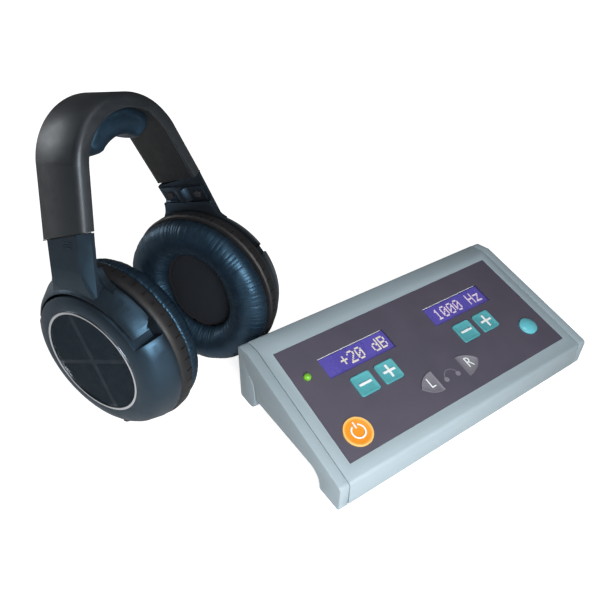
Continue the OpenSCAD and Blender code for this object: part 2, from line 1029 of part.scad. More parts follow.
module cup_housing(side) {
  x = face_x;
  color([0.12, 0.13, 0.15])
    on_cup(side)
      difference() {
        // outer form: cone, round shoulder and face
        turned([[0, ring_x1], [rim_r - 1.2, ring_x1], [rim_r - 1.6, ring_x1 + 3],
          [drum_r + 5.6, x - 6.4], [drum_r + 3.6, x - 4], [drum_r + 1.2, x - 2.2],
          [drum_r - 1.6, x - 0.9], [drum_r - 4, x - 0.2], [drum_r - 6, x], [0, x]]);
        // inside
        turned([[0, ring_x1 - 1], [drum_r - 3.4, ring_x1 - 1], [drum_r - 3.4, x - 4.6], [0, x - 4.6]]);
        // seat for the disc and the trim ring
        turned([[0, x - 2.2], [trim_r + 0.1, x - 2.2], [trim_r + 0.1, x + 1], [0, x + 1]]);
        // channel for the yoke round the top
        turned([[drum_r, ring_x1 + 0.3], [rim_r + 9, ring_x1 + 0.3], [rim_r + 9, x + 1],
          [drum_r, x + 1]], 113, 134);
        // bores for the pivot pins
        for (s = [-1, 1])
          translate([pivot_x, s * (drum_r - 13), pivot_z])
            rotate([90, 0, 0])
              cylinder(h = 12, r = pin_r + 0.05, center = true);
        // hole for the cable inlet
        if (side < 0)
          translate([ring_x1 + 7, 0, 0]) {
            translate([0, 0, -rim_r - 5])
              cylinder(h = 26, r = 2.6);
            translate([0, 0, -rim_r - 5])
              cylinder(h = 10.1, r = 3.7);
          }
      }
}

module left_cup_housing() {
  cup_housing(-1);
}

module right_cup_housing() {
  cup_housing(1);
}

module trim_ring(side) {
  color([0.8, 0.81, 0.83])
    on_cup(side)
      turned([[trim_r - 1.4, face_x - 2.15], [trim_r, face_x - 2.15], [trim_r, face_x + 0.3],
        [trim_r - 0.4, face_x + 0.5], [trim_r - 1, face_x + 0.5], [trim_r - 1.4, face_x + 0.2]]);
}

module left_trim_ring() {
  trim_ring(-1);
}

module right_trim_ring() {
  trim_ring(1);
}

module face_disc(side) {
  color([0.07, 0.08, 0.1])
    on_cup(side)
      turned([[0, face_x - 2.15], [trim_r - 1.5, face_x - 2.15], [trim_r - 1.5, face_x - 0.4],
        [0, face_x - 0.4]]);
}

module left_disc() {
  face_disc(-1);
}

module right_disc() {
  face_disc(1);
}

// ring with a notched band next to the pad and a plain band next to the cup
module rim_ring(side) {
  color([0.14, 0.15, 0.16])
    on_cup(side)
      difference() {
        turned([[rim_r - 7, ring_x0], [rim_r - 1, ring_x0], [rim_r, ring_x0 + 1],
          [rim_r, ring_x1 - 3], [rim_r - 0.7, ring_x1 - 0.6],
          [rim_r - 1.3, ring_x1 - 0.05], [rim_r - 7, ring_x1 - 0.05]]);
        for (i = [0:notch_n - 1])
          rotate([360 * i / notch_n, 0, 0])
            translate([ring_x0 + 2.9, 0, rim_r])
              cube([3.6, 0.9, 1.6], center = true);
      }
}

module left_rim_ring() {
  rim_ring(-1);
}

module right_rim_ring() {
  rim_ring(1);
}

// plate that closes the cup and carries the driver
module baffle(side) {
  color([0.1, 0.1, 0.11])
    on_cup(side)
      difference() {
        turned([[20.1, ring_x0 + 0.3], [rim_r - 7.1, ring_x0 + 0.3], [rim_r - 7.1, ring_x0 + 2.3],
          [20.1, ring_x0 + 2.3]]);
        for (i = [0:11])
          rotate([30 * i, 0, 0])
            translate([ring_x0, 0, 30])
              rotate([0, 90, 0])
                cylinder(h = 6, r = 2.2, center = true);
      }
}

module left_baffle() {
  baffle(-1);
}

module right_baffle() {
  baffle(1);
}

module driver(side) {
  x0 = ring_x0 + 0.3;
  color([0.3, 0.3, 0.32])
    on_cup(side)
      turned([[0, x0 + 0.8], [6, x0 + 0.4], [12, x0 + 1], [17, x0 + 0.2], [20, x0 + 0.2], [20, x0 + 4],
        [14, x0 + 5.5], [13, x0 + 9], [0, x0 + 9]]);
}

module left_driver() {
  driver(-1);
}

module right_driver() {
  driver(1);
}

// outline of the pad's opening, taller than wide
module pad_hole(grow) {
  for (s = [-1, 1])
    translate([s * pad_hole_tall / 2, 0])
      circle(pad_hole_r + grow, $fn = 96);
  square([pad_hole_tall, 2 * (pad_hole_r + grow)], center = true);
}

module ear_cloth(side) {
  color([0.06, 0.07, 0.09])
    on_cup(side)
      rotate([0, 90, 0])
        translate([0, 0, ring_x0 - 0.9])
          linear_extrude(0.8)
            pad_hole(-0.4);
}

module left_ear_cloth() {
  ear_cloth(-1);
}

module right_ear_cloth() {
  ear_cloth(1);
}

// ring cushion: crowned face, drawn in at the base and round the opening
module ear_pad(side) {
  x1 = ring_x0 - 0.1;
  x0 = x1 - pad_t;
  ro = rim_r - 1.2;
  color([0.08, 0.1, 0.13])
    on_cup(side)
      difference() {
        turned([[pad_hole_r - 2, x1], [ro - 3, x1], [ro - 1.4, x1 - 1.4], [ro - 0.2, x1 - 4.6],
          [ro, x1 - 7], [ro - 1, x1 - 10.4], [ro - 3.2, x1 - 13], [ro - 6.6, x0 + 0.8],
          [ro - 10.5, x0], [pad_hole_r + 12, x0 + 0.4], [pad_hole_r + 8, x0 + 2],
          [pad_hole_r + 4.4, x0 + 5], [pad_hole_r + 1.6, x0 + 9], [pad_hole_r - 2, x0 + 13.4]]);
        rotate([0, 90, 0])
          translate([0, 0, x0 - 5])
            linear_extrude(pad_t + 10)
              pad_hole(0);
      }
}

module left_ear_pad() {
  ear_pad(-1);
}

module right_ear_pad() {
  ear_pad(1);
}

// moulded inlet for the cable at the bottom of the left cup
module cable_inlet() {
  color([0.1, 0.1, 0.11])
    on_cup(-1)
      translate([ring_x1 + 7, 0, 0])
        difference() {
          union() {
            translate([0, 0, -rim_r + 2.2])
              cylinder(h = 13.5, r = 2.55);
            translate([0, 0, -rim_r + 1.8])
              cylinder(h = 3.2, r = 3.6);
          }
          translate([0, 0, -rim_r])
            cylinder(h = 30, r = 1.6);
        }
}

// ---------- drawing ----------

housing_shell();
base_plate();
left_cheek();
right_cheek();
rubber_feet();
panel_overlay();
panel_carrier();
level_window();
frequency_window();
level_display();
frequency_display();
status_led();
level_down_key();
level_up_key();
frequency_down_key();
frequency_up_key();
left_ear_key();
right_ear_key();
tone_key();
power_key();
main_board();
key_switches();
board_spacers();
board_screws();
base_screws();
headphone_jack();
power_jack();
headband_shell();
headband_liner();
headband_spring();
headband_pad();
left_slider();
left_arm();
left_hinge_cover();
left_cover_screws();
left_pivot_pins();
left_cup_housing();
left_trim_ring();
left_disc();
left_rim_ring();
left_baffle();
left_driver();
left_ear_cloth();
left_ear_pad();
cable_inlet();
right_slider();
right_arm();
right_hinge_cover();
right_cover_screws();
right_pivot_pins();
right_cup_housing();
right_trim_ring();
right_disc();
right_rim_ring();
right_baffle();
right_driver();
right_ear_cloth();
right_ear_pad();
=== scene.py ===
# %% [markdown]
# # A desk audiometer and its headphones
# An audiometer tests hearing: a wedge-shaped console plays tones of a chosen level and
# frequency, and a pair of closed headphones brings them to the ears.
# The solid parts come from the CAD model as a fixed frame. This lesson gives them their rounded
# edges, finishes and soft parts, and then lights them as in a small studio.

# %% Load the frame
import math
import bpy
import numpy as np
from mathutils import Matrix, Vector, noise


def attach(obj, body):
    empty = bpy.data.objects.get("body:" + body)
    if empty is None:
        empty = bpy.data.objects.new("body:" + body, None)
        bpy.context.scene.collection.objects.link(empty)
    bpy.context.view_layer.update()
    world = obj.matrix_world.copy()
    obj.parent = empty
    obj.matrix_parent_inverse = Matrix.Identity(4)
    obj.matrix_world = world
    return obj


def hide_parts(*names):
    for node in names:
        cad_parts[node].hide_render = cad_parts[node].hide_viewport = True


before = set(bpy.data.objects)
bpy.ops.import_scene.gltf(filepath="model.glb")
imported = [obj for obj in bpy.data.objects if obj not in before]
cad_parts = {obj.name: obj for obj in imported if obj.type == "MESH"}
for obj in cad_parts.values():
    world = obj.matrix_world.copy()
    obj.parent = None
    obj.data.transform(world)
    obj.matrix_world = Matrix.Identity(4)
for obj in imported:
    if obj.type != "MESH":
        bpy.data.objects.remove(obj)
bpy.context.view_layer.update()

# %% [markdown]
# ## Where things are
# New pieces are modelled in millimetres about a handy middle, such as the middle of the head for
# an ear cup, and only then moved to their place. One matrix for each of those middles says how,
# and its numbers are those of the CAD source: the console's slope, the turn and lean of the
# headphones, the turn of each arm about its hinge and the tilt of each cup.

# %% Matrices of the console, the panel and the headphones
MM = 0.001
CONSOLE_MIDDLE = (-49.267, 104.761)
SLOPE = 15.4
FRONT_HEIGHT = 20.0
HEADPHONES_AT = (-136, 152.3, 53.73)
HEADPHONES_TURN, HEADPHONES_LEAN = 21.4, -12.1
RIGHT, LEFT = 1, -1
LEG_FOOT = (44.723, 0, 70.937)
LEG_SLANT = 18.0
PIVOT = (48.1, 0, 28.0)
SWIVEL = {LEFT: -4, RIGHT: 10}
TILT = {LEFT: -1, RIGHT: 2}


def shift(x, y, z):
    return Matrix.Translation((x, y, z))


def turn(axis, degrees):
    return Matrix.Rotation(math.radians(degrees), 4, axis)


console = shift(-CONSOLE_MIDDLE[0], -CONSOLE_MIDDLE[1], 0)
panel = console @ shift(0, 0, FRONT_HEIGHT) @ turn("X", SLOPE)
headband = (console @ shift(*HEADPHONES_AT) @ turn("Z", HEADPHONES_TURN)
            @ turn("X", HEADPHONES_LEAN))
mirror_x = Matrix.Diagonal((-1, 1, 1, 1))


def leg(side):
    """A headband leg: z up the leg, x outwards."""
    half = headband if side == RIGHT else headband @ mirror_x
    return half @ shift(*LEG_FOOT) @ turn("Y", -LEG_SLANT)


def arm(side):
    """An arm, turned about its leg's line; same axes as the headband."""
    turned = leg(side) @ turn("Z", SWIVEL[side])
    return turned @ turn("Y", LEG_SLANT) @ shift(*LEG_FOOT).inverted()


def cup(side):
    """An ear cup: the origin is the middle of the head, x runs outwards through the cup."""
    return arm(side) @ shift(*PIVOT) @ turn("Y", TILT[side]) @ shift(*PIVOT).inverted()


print("left cup's middle, mm:", [round(v, 1) for v in (cup(LEFT) @ Vector((40, 0, 0)))])

# %% [markdown]
# ## Small helpers
# Blender's operators act on what is selected, so each step first deselects everything.
# A piece that is done gets its place in its mesh, rides on the body of its CAD part, and takes
# its finish; the CAD nodes that it stands for are hidden.

# %% Selecting
NAMES = {LEFT: "left", RIGHT: "right"}


def only(piece):
    """Selects one object and nothing else, in object mode."""
    if bpy.context.object and bpy.context.object.mode != "OBJECT":
        bpy.ops.object.mode_set(mode="OBJECT")
    bpy.ops.object.select_all(action="DESELECT")
    piece.select_set(True)
    bpy.context.view_layer.objects.active = piece
    return piece


def edit(piece, faces=None):
    """Edit mode, with the faces selected that the test chooses, or all of them."""
    only(piece)
    bpy.context.tool_settings.mesh_select_mode = (False, False, True)
    bpy.ops.object.mode_set(mode="EDIT")
    bpy.ops.mesh.select_all(action="SELECT" if faces is None else "DESELECT")
    if faces:
        bpy.ops.object.mode_set(mode="OBJECT")
        for face in piece.data.polygons:
            face.select = bool(faces(face))
        bpy.ops.object.mode_set(mode="EDIT")


def made(name):
    """The primitive that was just added, named."""
    piece = bpy.context.object
    piece.name = piece.data.name = name
    return piece


def applied(piece, kind, **settings):
    """Adds a modifier with these settings and applies it."""
    only(piece)
    modifier = piece.modifiers.new(kind.title(), kind)
    for key, value in settings.items():
        setattr(modifier, key, value)
    bpy.ops.object.modifier_apply(modifier=modifier.name)


def joined(pieces, name):
    """Several pieces made into one."""
    only(pieces[0])
    for piece in pieces:
        piece.select_set(True)
    bpy.ops.object.join()
    return made(name)


def smooth(piece, degrees=35):
    only(piece)
    bpy.ops.object.shade_smooth_by_angle(angle=math.radians(degrees))


# %% Handing a piece over
def hand_over(piece, body, material, nodes=()):
    """Gives a finished piece its body and its finish, and hides the CAD nodes that it stands for.
    """
    piece.data.materials.clear()
    piece.data.materials.append(material)
    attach(piece, body)
    if nodes:
        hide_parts(*nodes)


def dress(node, material):
    """Gives a CAD part that stays as it is its material."""
    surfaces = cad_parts[node].data.materials
    surfaces.clear()
    surfaces.append(material)


def place(piece, where):
    """Moves a piece from its millimetres about a middle to its place in the row frame."""
    only(piece)
    bpy.ops.object.transform_apply(location=True, rotation=True, scale=True)
    matrix = Matrix.Scale(MM, 4) @ where
    piece.data.transform(matrix)
    if matrix.determinant() < 0:
        piece.data.flip_normals()
    piece.data.update()
    return piece


def twin(piece, name):
    """A copy with a mesh of its own."""
    other = piece.copy()
    other.data = piece.data.copy()
    other.name = other.data.name = name
    bpy.context.scene.collection.objects.link(other)
    return other


# %% [markdown]
# ## Camera
# The photograph looks down on the set from the front left. The camera stands where the console's
# corners and panel fall on the same places of the picture, and it comes first, so that every
# later step can be looked at.

# %% The camera
CAMERA_AT = (-237.70, -145.12, 296.21)
CAMERA_TURN, CAMERA_DOWN, CAMERA_ROLL = -0.612, 0.6543, 0.0123
FOCAL_PIXELS, PICTURE_PIXELS, SENSOR = 602.53, 600, 36.0
NEAREST, FARTHEST = 0.01, 50

back = Vector((math.sin(CAMERA_TURN) * math.cos(CAMERA_DOWN),
               -math.cos(CAMERA_TURN) * math.cos(CAMERA_DOWN), math.sin(CAMERA_DOWN)))
level = back.cross(Vector((0, 0, -1))).normalized()
above = level.cross(-back)
across = math.cos(CAMERA_ROLL) * level + math.sin(CAMERA_ROLL) * above
upward = -math.sin(CAMERA_ROLL) * level + math.cos(CAMERA_ROLL) * above

camera = bpy.data.objects.new("camera", bpy.data.cameras.new("camera"))
bpy.context.scene.collection.objects.link(camera)
camera.data.sensor_width = SENSOR
camera.data.lens = FOCAL_PIXELS * SENSOR / PICTURE_PIXELS
camera.data.clip_start, camera.data.clip_end = NEAREST, FARTHEST
spot = console @ Vector(CAMERA_AT) * MM
axes = Matrix((across, upward, back)).transposed().to_4x4()
camera.matrix_world = Matrix.Translation(spot) @ axes
bpy.context.scene.camera = camera
print("lens", round(camera.data.lens, 2), "mm at", [round(v, 3) for v in spot])

# %% [markdown]
# ## Finishes
# Moulded plastic is never quite even: its colour drifts a little, its gloss changes over a few
# millimetres, and a fine spark-eroded grain breaks up reflections. Three noises on the piece's
# own coordinates give each finish these, at the scale of the real grain.

# %% Nodes of a finish
# Sockets of a mix node that works on colours: its share, its two colours, and its result.
MIX_SHARE, MIX_LOW, MIX_HIGH, MIX_RESULT = 0, 6, 7, 2


def linear(red, green, blue):
    """A colour as seen on a screen, 0 to 255, in Blender's linear values (the sRGB curve)."""
    return [((v / 255 + 0.055) / 1.055) ** 2.4 if v > 10 else v / 3294
            for v in (red, green, blue)] + [1]


class Finish:
    """A material under construction: its shader, and short ways to add and join nodes."""

    def __init__(self, name, colour, roughness, **shader):
        self.material = bpy.data.materials.new(name)
        self.material.use_nodes = True
        self.nodes = self.material.node_tree.nodes
        self.links = self.material.node_tree.links
        self.shader = self.nodes["Principled BSDF"]
        self.colour, self.roughness = linear(*colour), roughness
        self.set("Base Color", self.colour)
        self.set("Roughness", roughness)
        for socket, value in shader.items():
            self.set(socket.replace("_", " "), value)
        self.place = self.node("ShaderNodeTexCoord").outputs["Object"]
        self.material.diffuse_color = self.colour

    def set(self, socket, value):
        self.shader.inputs[socket].default_value = value

    def fill(self, socket, value):
        """Joins the socket to another one, or writes a plain value into it."""
        if isinstance(value, bpy.types.NodeSocket):
            self.links.new(value, socket)
        else:
            socket.default_value = value

    def node(self, kind, **inputs):
        """A new node; its inputs are named with _ for a space."""
        node = self.nodes.new(kind)
        for name, value in inputs.items():
            self.fill(node.inputs[name.replace("_", " ")], value)
        return node

    def noise(self, size_mm, detail=2.0):
        """A noise whose blobs are about this many millimetres across."""
        node = self.node("ShaderNodeTexNoise", Vector=self.place, Scale=1 / (size_mm * MM),
                         Detail=detail)
        return node.outputs["Fac"]

    def between(self, share, low, high, start=0.3, end=0.7):
        """Runs from low to high while the share runs from start to end."""
        node = self.node("ShaderNodeMapRange", Value=share, From_Min=start, From_Max=end,
                         To_Min=low, To_Max=high)
        return node.outputs["Result"]

    def mix(self, share, low, high):
        """A colour from low to high; either may be a socket."""
        node = self.nodes.new("ShaderNodeMix")
        node.data_type = "RGBA"
        for index, value in ((MIX_SHARE, share), (MIX_LOW, low), (MIX_HIGH, high)):
            self.fill(node.inputs[index], value)
        return node.outputs[MIX_RESULT]

    def paint(self, colour):
        self.links.new(colour, self.shader.inputs["Base Color"])

    def shine(self, value):
        self.links.new(value, self.shader.inputs["Roughness"])

    def bump(self, height, depth_mm, under=None):
        """Bump of this depth, on top of another bump if there is one."""
        node = self.node("ShaderNodeBump", Height=height, Distance=depth_mm * MM)
        if under is not None:
            self.links.new(under, node.inputs["Normal"])
        self.links.new(node.outputs["Normal"], self.shader.inputs["Normal"])
        return node.outputs["Normal"]


def shade(colour, factor):
    return [channel * factor for channel in colour[:3]] + [1]


# %% Moulded plastics
DRIFT_MM, PATCH_MM, PATCHINESS = 18, 7, 0.12


def plastic(name, colour, roughness, grain_mm=0.5, grain_deep=0.02, drift=0.12, **shader):
    """Moulded plastic: slow drift of colour, patchy gloss and a fine grain."""
    finish = Finish(name, colour, roughness, **shader)
    darker, lighter = shade(finish.colour, 1 - drift), shade(finish.colour, 1 + drift)
    finish.paint(finish.mix(finish.noise(DRIFT_MM), darker, lighter))
    finish.shine(finish.between(finish.noise(PATCH_MM, 3), roughness * (1 - PATCHINESS),
                                roughness * (1 + PATCHINESS)))
    finish.bump(finish.noise(grain_mm, 3), grain_deep)
    return finish.material


NAVY_SHEEN = (0.32, 0.66, 1.0, 1)
case_grey = plastic("case_grey_paint", (160, 176, 184), 0.5, 0.55, 0.03, 0.04)
dark_moulding = plastic("dark_moulding", (44, 44, 47), 0.55)
black_satin = plastic("black_satin", (26, 28, 31), 0.4, 0.35, 0.012, 0.1, Specular_IOR_Level=1.0,
                      Specular_Tint=NAVY_SHEEN)
shell_black = plastic("shell_black", (29, 31, 34), 0.44, 0.35, 0.02, 0.12, Specular_IOR_Level=0.9,
                      Specular_Tint=(0.8, 0.9, 1.0, 1))
ring_black = plastic("ring_black", (24, 24, 26), 0.55, 0.5, 0.03, 0.12)
# Black of the headband liner, also used for the painted shade in the gap under each leg.
liner_and_shade_black = plastic("liner_and_shade_black", (24, 25, 27), 0.6, 0.6, 0.02)
foot_rubber = plastic("foot_rubber_grain", (34, 34, 35), 0.8, 0.8, 0.05)
key_teal = plastic("key_teal_cap", (88, 170, 178), 0.35, 0.4, 0.008, 0.05)
key_grey = plastic("key_grey_cap", (126, 124, 134), 0.4, 0.4, 0.008, 0.05)
# White print of the signs and letters, also used for the painted reflection along each window's
# rear edge.
white_print_and_glint = plastic("white_print_and_glint", (238, 244, 246), 0.45, 0.3, 0.004, 0.02)
pale_print = plastic("pale_print", (130, 126, 138), 0.45, 0.3, 0.004, 0.03)
print("plastics:", len([m for m in bpy.data.materials if m.users]))

# %% Metal, board and lamp
def metal(name, colour, roughness):
    """Plated steel or polished trim: faint streaks in the gloss."""
    finish = Finish(name, colour, roughness, Metallic=1.0)
    finish.shine(finish.between(finish.noise(1.5, 4), roughness * 0.7, roughness * 1.4))
    finish.paint(finish.mix(finish.noise(6), shade(finish.colour, 0.9), finish.colour))
    return finish.material


steel = metal("plated_steel", (200, 202, 205), 0.3)
silver = metal("silver_trim_metal", (236, 238, 242), 0.14)
board_green = plastic("board_lacquer", (40, 110, 66), 0.35, 2.0, 0.02, 0.2)

lamp = Finish("green_lamp_lens", (80, 140, 40), 0.18, Emission_Strength=0.1)
glow = lamp.mix(lamp.noise(1.6), linear(40, 110, 16), linear(150, 225, 70))
lamp.paint(glow)
lamp.links.new(glow, lamp.shader.inputs["Emission Color"])
green_lamp = lamp.material

# %% [markdown]
# ## Rounded edges
# CAD edges are perfectly sharp, and nothing moulded is. A copy of the CAD part has its
# triangles merged, its flat faces made whole again, and its sharp edges bevelled by a few tenths
# of a millimetre, so that every edge catches a thin line of light as the real one does.

# %% Soften a CAD part
MERGE_WITHIN, FLAT_WITHIN = 0.004 * MM, 0.4
SHADE_ANGLE = 38


def cad_copy(node):
    """A merged copy of a CAD node, free of the frame."""
    piece = twin(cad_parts[node], f"{node}_rounded")
    for key in list(piece.keys()):
        del piece[key]
    piece.parent = None
    piece.matrix_world = Matrix.Identity(4)
    piece.hide_render = piece.hide_viewport = False
    only(piece)
    if piece.data.has_custom_normals:
        bpy.ops.mesh.customdata_custom_splitnormals_clear()
    edit(piece)
    bpy.ops.mesh.remove_doubles(threshold=MERGE_WITHIN)
    bpy.ops.mesh.dissolve_limited(angle_limit=math.radians(FLAT_WITHIN))
    only(piece)
    return piece


def bevel_chosen(piece, width_mm, chosen, segments=2):
    """Bevels the edges that the test chooses from the angle and the two ends, in millimetres."""
    only(piece)
    mesh = piece.data
    edges_of = {}
    for face in mesh.polygons:
        for key in face.edge_keys:
            edges_of.setdefault(key, []).append(face.normal)
    weight = mesh.attributes.get("bevel_weight_edge")
    weight = weight or mesh.attributes.new("bevel_weight_edge", "FLOAT", "EDGE")
    count = 0
    for edge in mesh.edges:
        sides = edges_of.get(edge.key, [])
        if len(sides) == 2:
            angle = math.degrees(sides[0].angle(sides[1], 0))
            ends = [mesh.vertices[i].co / MM for i in edge.vertices]
            if chosen(angle, *ends):
                weight.data[edge.index].value = 1.0
                count += 1
    applied(piece, "BEVEL", width=width_mm * MM, segments=segments, limit_method="WEIGHT",
            use_clamp_overlap=True, harden_normals=False)
    left = piece.data.attributes.get("bevel_weight_edge")
    if left:
        piece.data.attributes.remove(left)
    return count


def soften(node, body, material, width_mm=0.3, sharp=38, segments=2):
    """The usual treatment: every sharp edge gets the same small bevel."""
    piece = cad_copy(node)
    count = 0
    if width_mm:
        count = bevel_chosen(piece, width_mm, lambda angle, a, b: angle > sharp, segments)
    smooth(piece, SHADE_ANGLE)
    hand_over(piece, body, material, [node])
    print(node, "edges bevelled:", count, "faces:", len(piece.data.polygons))


# %% [markdown]
# ## The console's case
# Two side cheeks hold a folded housing. Their outer edges are rounded by about two millimetres
# and show as a bright rim, while the edges along the groove to the housing are nearly sharp.

# %% Housing and cheeks
soften("housing_shell", "console", case_grey, 0.35)
HALF_WIDTH = 108.0
RIM_ROUND, GROOVE_ROUND = 1.8, 0.3
ON_OUTER_FACE, OFF_OUTER_FACE = 0.05, 4
for side in (LEFT, RIGHT):
    node = f"{NAMES[side]}_cheek"
    cheek = cad_copy(node)
    outer = side * HALF_WIDTH - CONSOLE_MIDDLE[0]
    rim = bevel_chosen(cheek, RIM_ROUND, lambda angle, a, b: angle > 40
                       and max(abs(a.x - outer), abs(b.x - outer)) < ON_OUTER_FACE, 4)
    bevel_chosen(cheek, GROOVE_ROUND, lambda angle, a, b: angle > 60
                 and min(abs(a.x - outer), abs(b.x - outer)) > OFF_OUTER_FACE, 2)
    smooth(cheek, 40)
    hand_over(cheek, "console", case_grey, [node])
    print(node, "rim edges:", rim)
soften("base_plate", "console", case_grey, 0.3)
soften("rubber_feet", "console", foot_rubber, 0.15)

# %% [markdown]
# ## Panel, windows and displays
# The panel is a printed polyester film with a fine leather-like emboss. Behind two clear windows
# lie backlit displays: violet glass with pale characters made of small blocks, five across and
# seven high.

# %% Materials of the panel
panel_film = Finish("panel_film", (82, 78, 92), 0.5)
film_colour = panel_film.mix(panel_film.noise(25), linear(76, 73, 87), linear(90, 85, 99))
panel_film.paint(film_colour)
panel_film.shine(panel_film.between(panel_film.noise(9, 3), 0.42, 0.58))
panel_film.bump(panel_film.noise(0.35, 2), 0.02)

backlit = Finish("backlit_glass", (70, 60, 150), 0.3, Emission_Strength=0.42)
backlit_colour = backlit.mix(backlit.noise(16), linear(62, 52, 142), linear(86, 78, 172))
backlit.paint(backlit_colour)
backlit.links.new(backlit_colour, backlit.shader.inputs["Emission Color"])
backlit.shine(backlit.between(backlit.noise(3), 0.25, 0.35))

window = Finish("window_glass", (120, 112, 170), 0.08, Alpha=0.12)
window.shine(window.between(window.noise(8), 0.05, 0.12))
window.bump(window.noise(3), 0.002)

level_ink = plastic("level_characters", (236, 230, 190), 0.5, 0.5, 0.002, 0.04)
frequency_ink = plastic("frequency_characters", (236, 214, 236), 0.5, 0.5, 0.002, 0.04)
for ink in (level_ink, frequency_ink):
    sockets = ink.node_tree.nodes["Principled BSDF"].inputs
    sockets["Emission Color"].default_value = linear(236, 226, 214)
    sockets["Emission Strength"].default_value = 0.35

for node, material in (("panel_overlay", panel_film.material), ("panel_carrier", dark_moulding),
                       ("level_window", window.material), ("frequency_window", window.material),
                       ("level_display", backlit.material), ("frequency_display", backlit.material),
                       ("status_led", green_lamp), ("main_board", board_green),
                       ("key_switches", dark_moulding), ("board_spacers", steel),
                       ("board_screws", steel), ("base_screws", steel)):
    dress(node, material)

# %% Characters of the displays
GLYPHS = {
    "+": "00000 00100 00100 11111 00100 00100 00000",
    "0": "01110 10001 10011 10101 11001 10001 01110",
    "1": "00100 01100 00100 00100 00100 00100 01110",
    "2": "01110 10001 00001 00010 00100 01000 11111",
    "B": "11110 10001 10001 11110 10001 10001 11110",
    "H": "10001 10001 10001 11111 10001 10001 10001",
    "d": "00001 00001 01101 10011 10001 10001 01111",
    "z": "00000 00000 11111 00010 00100 01000 11111",
    " ": "00000 00000 00000 00000 00000 00000 00000",
}
BLOCK_WIDE, BLOCK_HIGH, CHARACTER_PITCH = 1.04, 1.3, 6.3
BLOCK_FILL, BLOCK_THICK, BLOCK_UP, MIDDLE_ROW = 0.96, 0.03, -1.58, 3


def characters(name, text, left_x, middle_s, material):
    """A line of block characters, lying on the display's glass under the window."""
    blocks = []
    for count_before, letter in enumerate(text):
        for row, bits in enumerate(GLYPHS[letter].split()):
            for column, bit in enumerate(bits):
                if bit == "1":
                    x = left_x + count_before * CHARACTER_PITCH + (column + 0.5) * BLOCK_WIDE
                    s = middle_s + (MIDDLE_ROW - row) * BLOCK_HIGH
                    bpy.ops.mesh.primitive_cube_add(size=1, location=(x, s, BLOCK_UP))
                    bpy.context.object.scale = (BLOCK_WIDE * BLOCK_FILL, BLOCK_HIGH * BLOCK_FILL,
                                                BLOCK_THICK)
                    blocks.append(bpy.context.object)
    count = len(blocks)
    line = place(joined(blocks, name), panel)
    hand_over(line, "console", material)
    print(name, "blocks:", count)


TEXT_ROW = 67.6
characters("level_characters_blocks", "+20 dB", -58.0, TEXT_ROW, level_ink)
characters("frequency_characters_blocks", "1000 Hz", 24.0, TEXT_ROW, frequency_ink)

# %% Painted reflection along the rear edge of each window
WINDOW_ROW, WINDOW_HALF, GLINT_LEFT = 67.32, 7.55, 1
GLINT_SIZE = (51, 0.34, 0.08)
# Each window's rear edge reflects a thin line of light; a thin white strip paints that reflection,
# it is no part of the window.
for name, x in (("level_glint", -45.308), ("frequency_glint", 43.804)):
    bpy.ops.mesh.primitive_cube_add(size=1, location=(x - GLINT_LEFT, WINDOW_ROW + WINDOW_HALF, 0))
    bpy.context.object.scale = GLINT_SIZE
    glint = place(made(name), panel)
    hand_over(glint, "console", white_print_and_glint)

# %% [markdown]
# ## Keys
# The square keys are soft caps with a slight pillow, the power key has a raised pale rim, and
# the tone key is a glossy dome. Their signs are printed, so they are thin raised shapes.

# %% Caps
KEY_TOP, KEY_ROUND, ON_TOP = 0.8, 0.3, 0.03 * MM


def pillow(node, material, shrink, lift):
    """A key with rounded edges; its top rises in two steps, each smaller by the same share."""
    key = cad_copy(node)
    up = (panel.to_3x3() @ Vector((0, 0, 1))).normalized()
    base = (Matrix.Scale(MM, 4) @ panel) @ Vector((0, 0, KEY_TOP))

    def at_top(point):
        return abs((point - base).dot(up)) < ON_TOP

    bevel_chosen(key, KEY_ROUND, lambda angle, a, b: angle > 50
                 and at_top(a * MM) and at_top(b * MM), 3)
    edit(key, lambda face: face.normal.dot(up) > 0.999 and at_top(face.center))
    middle = sum((Vector(corner) for corner in key.bound_box), Vector()) / 8
    for step in (lift, lift / 2):
        bpy.ops.mesh.extrude_region_move(TRANSFORM_OT_translate={"value": up * step * MM})
        bpy.ops.transform.resize(value=(shrink, shrink, shrink), center_override=middle)
    smooth(key, 32)
    hand_over(key, node + "_body", material, [node])


for node in ("level_down_key", "level_up_key", "frequency_down_key", "frequency_up_key"):
    pillow(node, key_teal, 0.86, 0.12)
for node in ("left_ear_key", "right_ear_key"):
    pillow(node, key_grey, 0.9, 0.08)

POWER_X, POWER_S = -78.302, 23.148
POWER_FACE, POWER_RIM = 7.4, 8.9
orange = Finish("power_key_cap", (240, 158, 48), 0.3)
orange_middle = orange.node("ShaderNodeMapping", Vector=orange.place)
orange_middle.vector_type = "TEXTURE"
key_middle = (Matrix.Scale(MM, 4) @ panel) @ Vector((POWER_X, POWER_S, KEY_TOP))
orange_middle.inputs["Location"].default_value = key_middle
orange_middle.inputs["Rotation"].default_value = (math.radians(SLOPE), 0, 0)
away = orange.node("ShaderNodeVectorMath", Vector=orange_middle.outputs["Vector"])
away.operation = "LENGTH"
rim_share = orange.between(away.outputs["Value"], 0, 1, POWER_FACE * MM, POWER_RIM * MM)
orange.paint(orange.mix(rim_share, linear(238, 150, 40), linear(250, 198, 116)))
orange.bump(orange.noise(0.4, 2), 0.006)
pillow("power_key", orange.material, 0.9, 0.1)

dome = Finish("tone_key_dome", (96, 190, 204), 0.12, Coat_Weight=0.5)
dome.paint(dome.mix(dome.noise(5), linear(84, 182, 198), linear(120, 206, 218)))
dome.shine(dome.between(dome.noise(2.5), 0.08, 0.2))
soften("tone_key", "tone_key_body", dome.material, 0.2)

# %% Signs on the keys
SIGN_UP, PRINT_THICK = KEY_TOP + 0.18, 0.12
KEY_ROW = 46.864
BAR_LONG, BAR_WIDE, STUB_LONG, STUB_AWAY = 9.4, 1.7, 3.8, 2.8


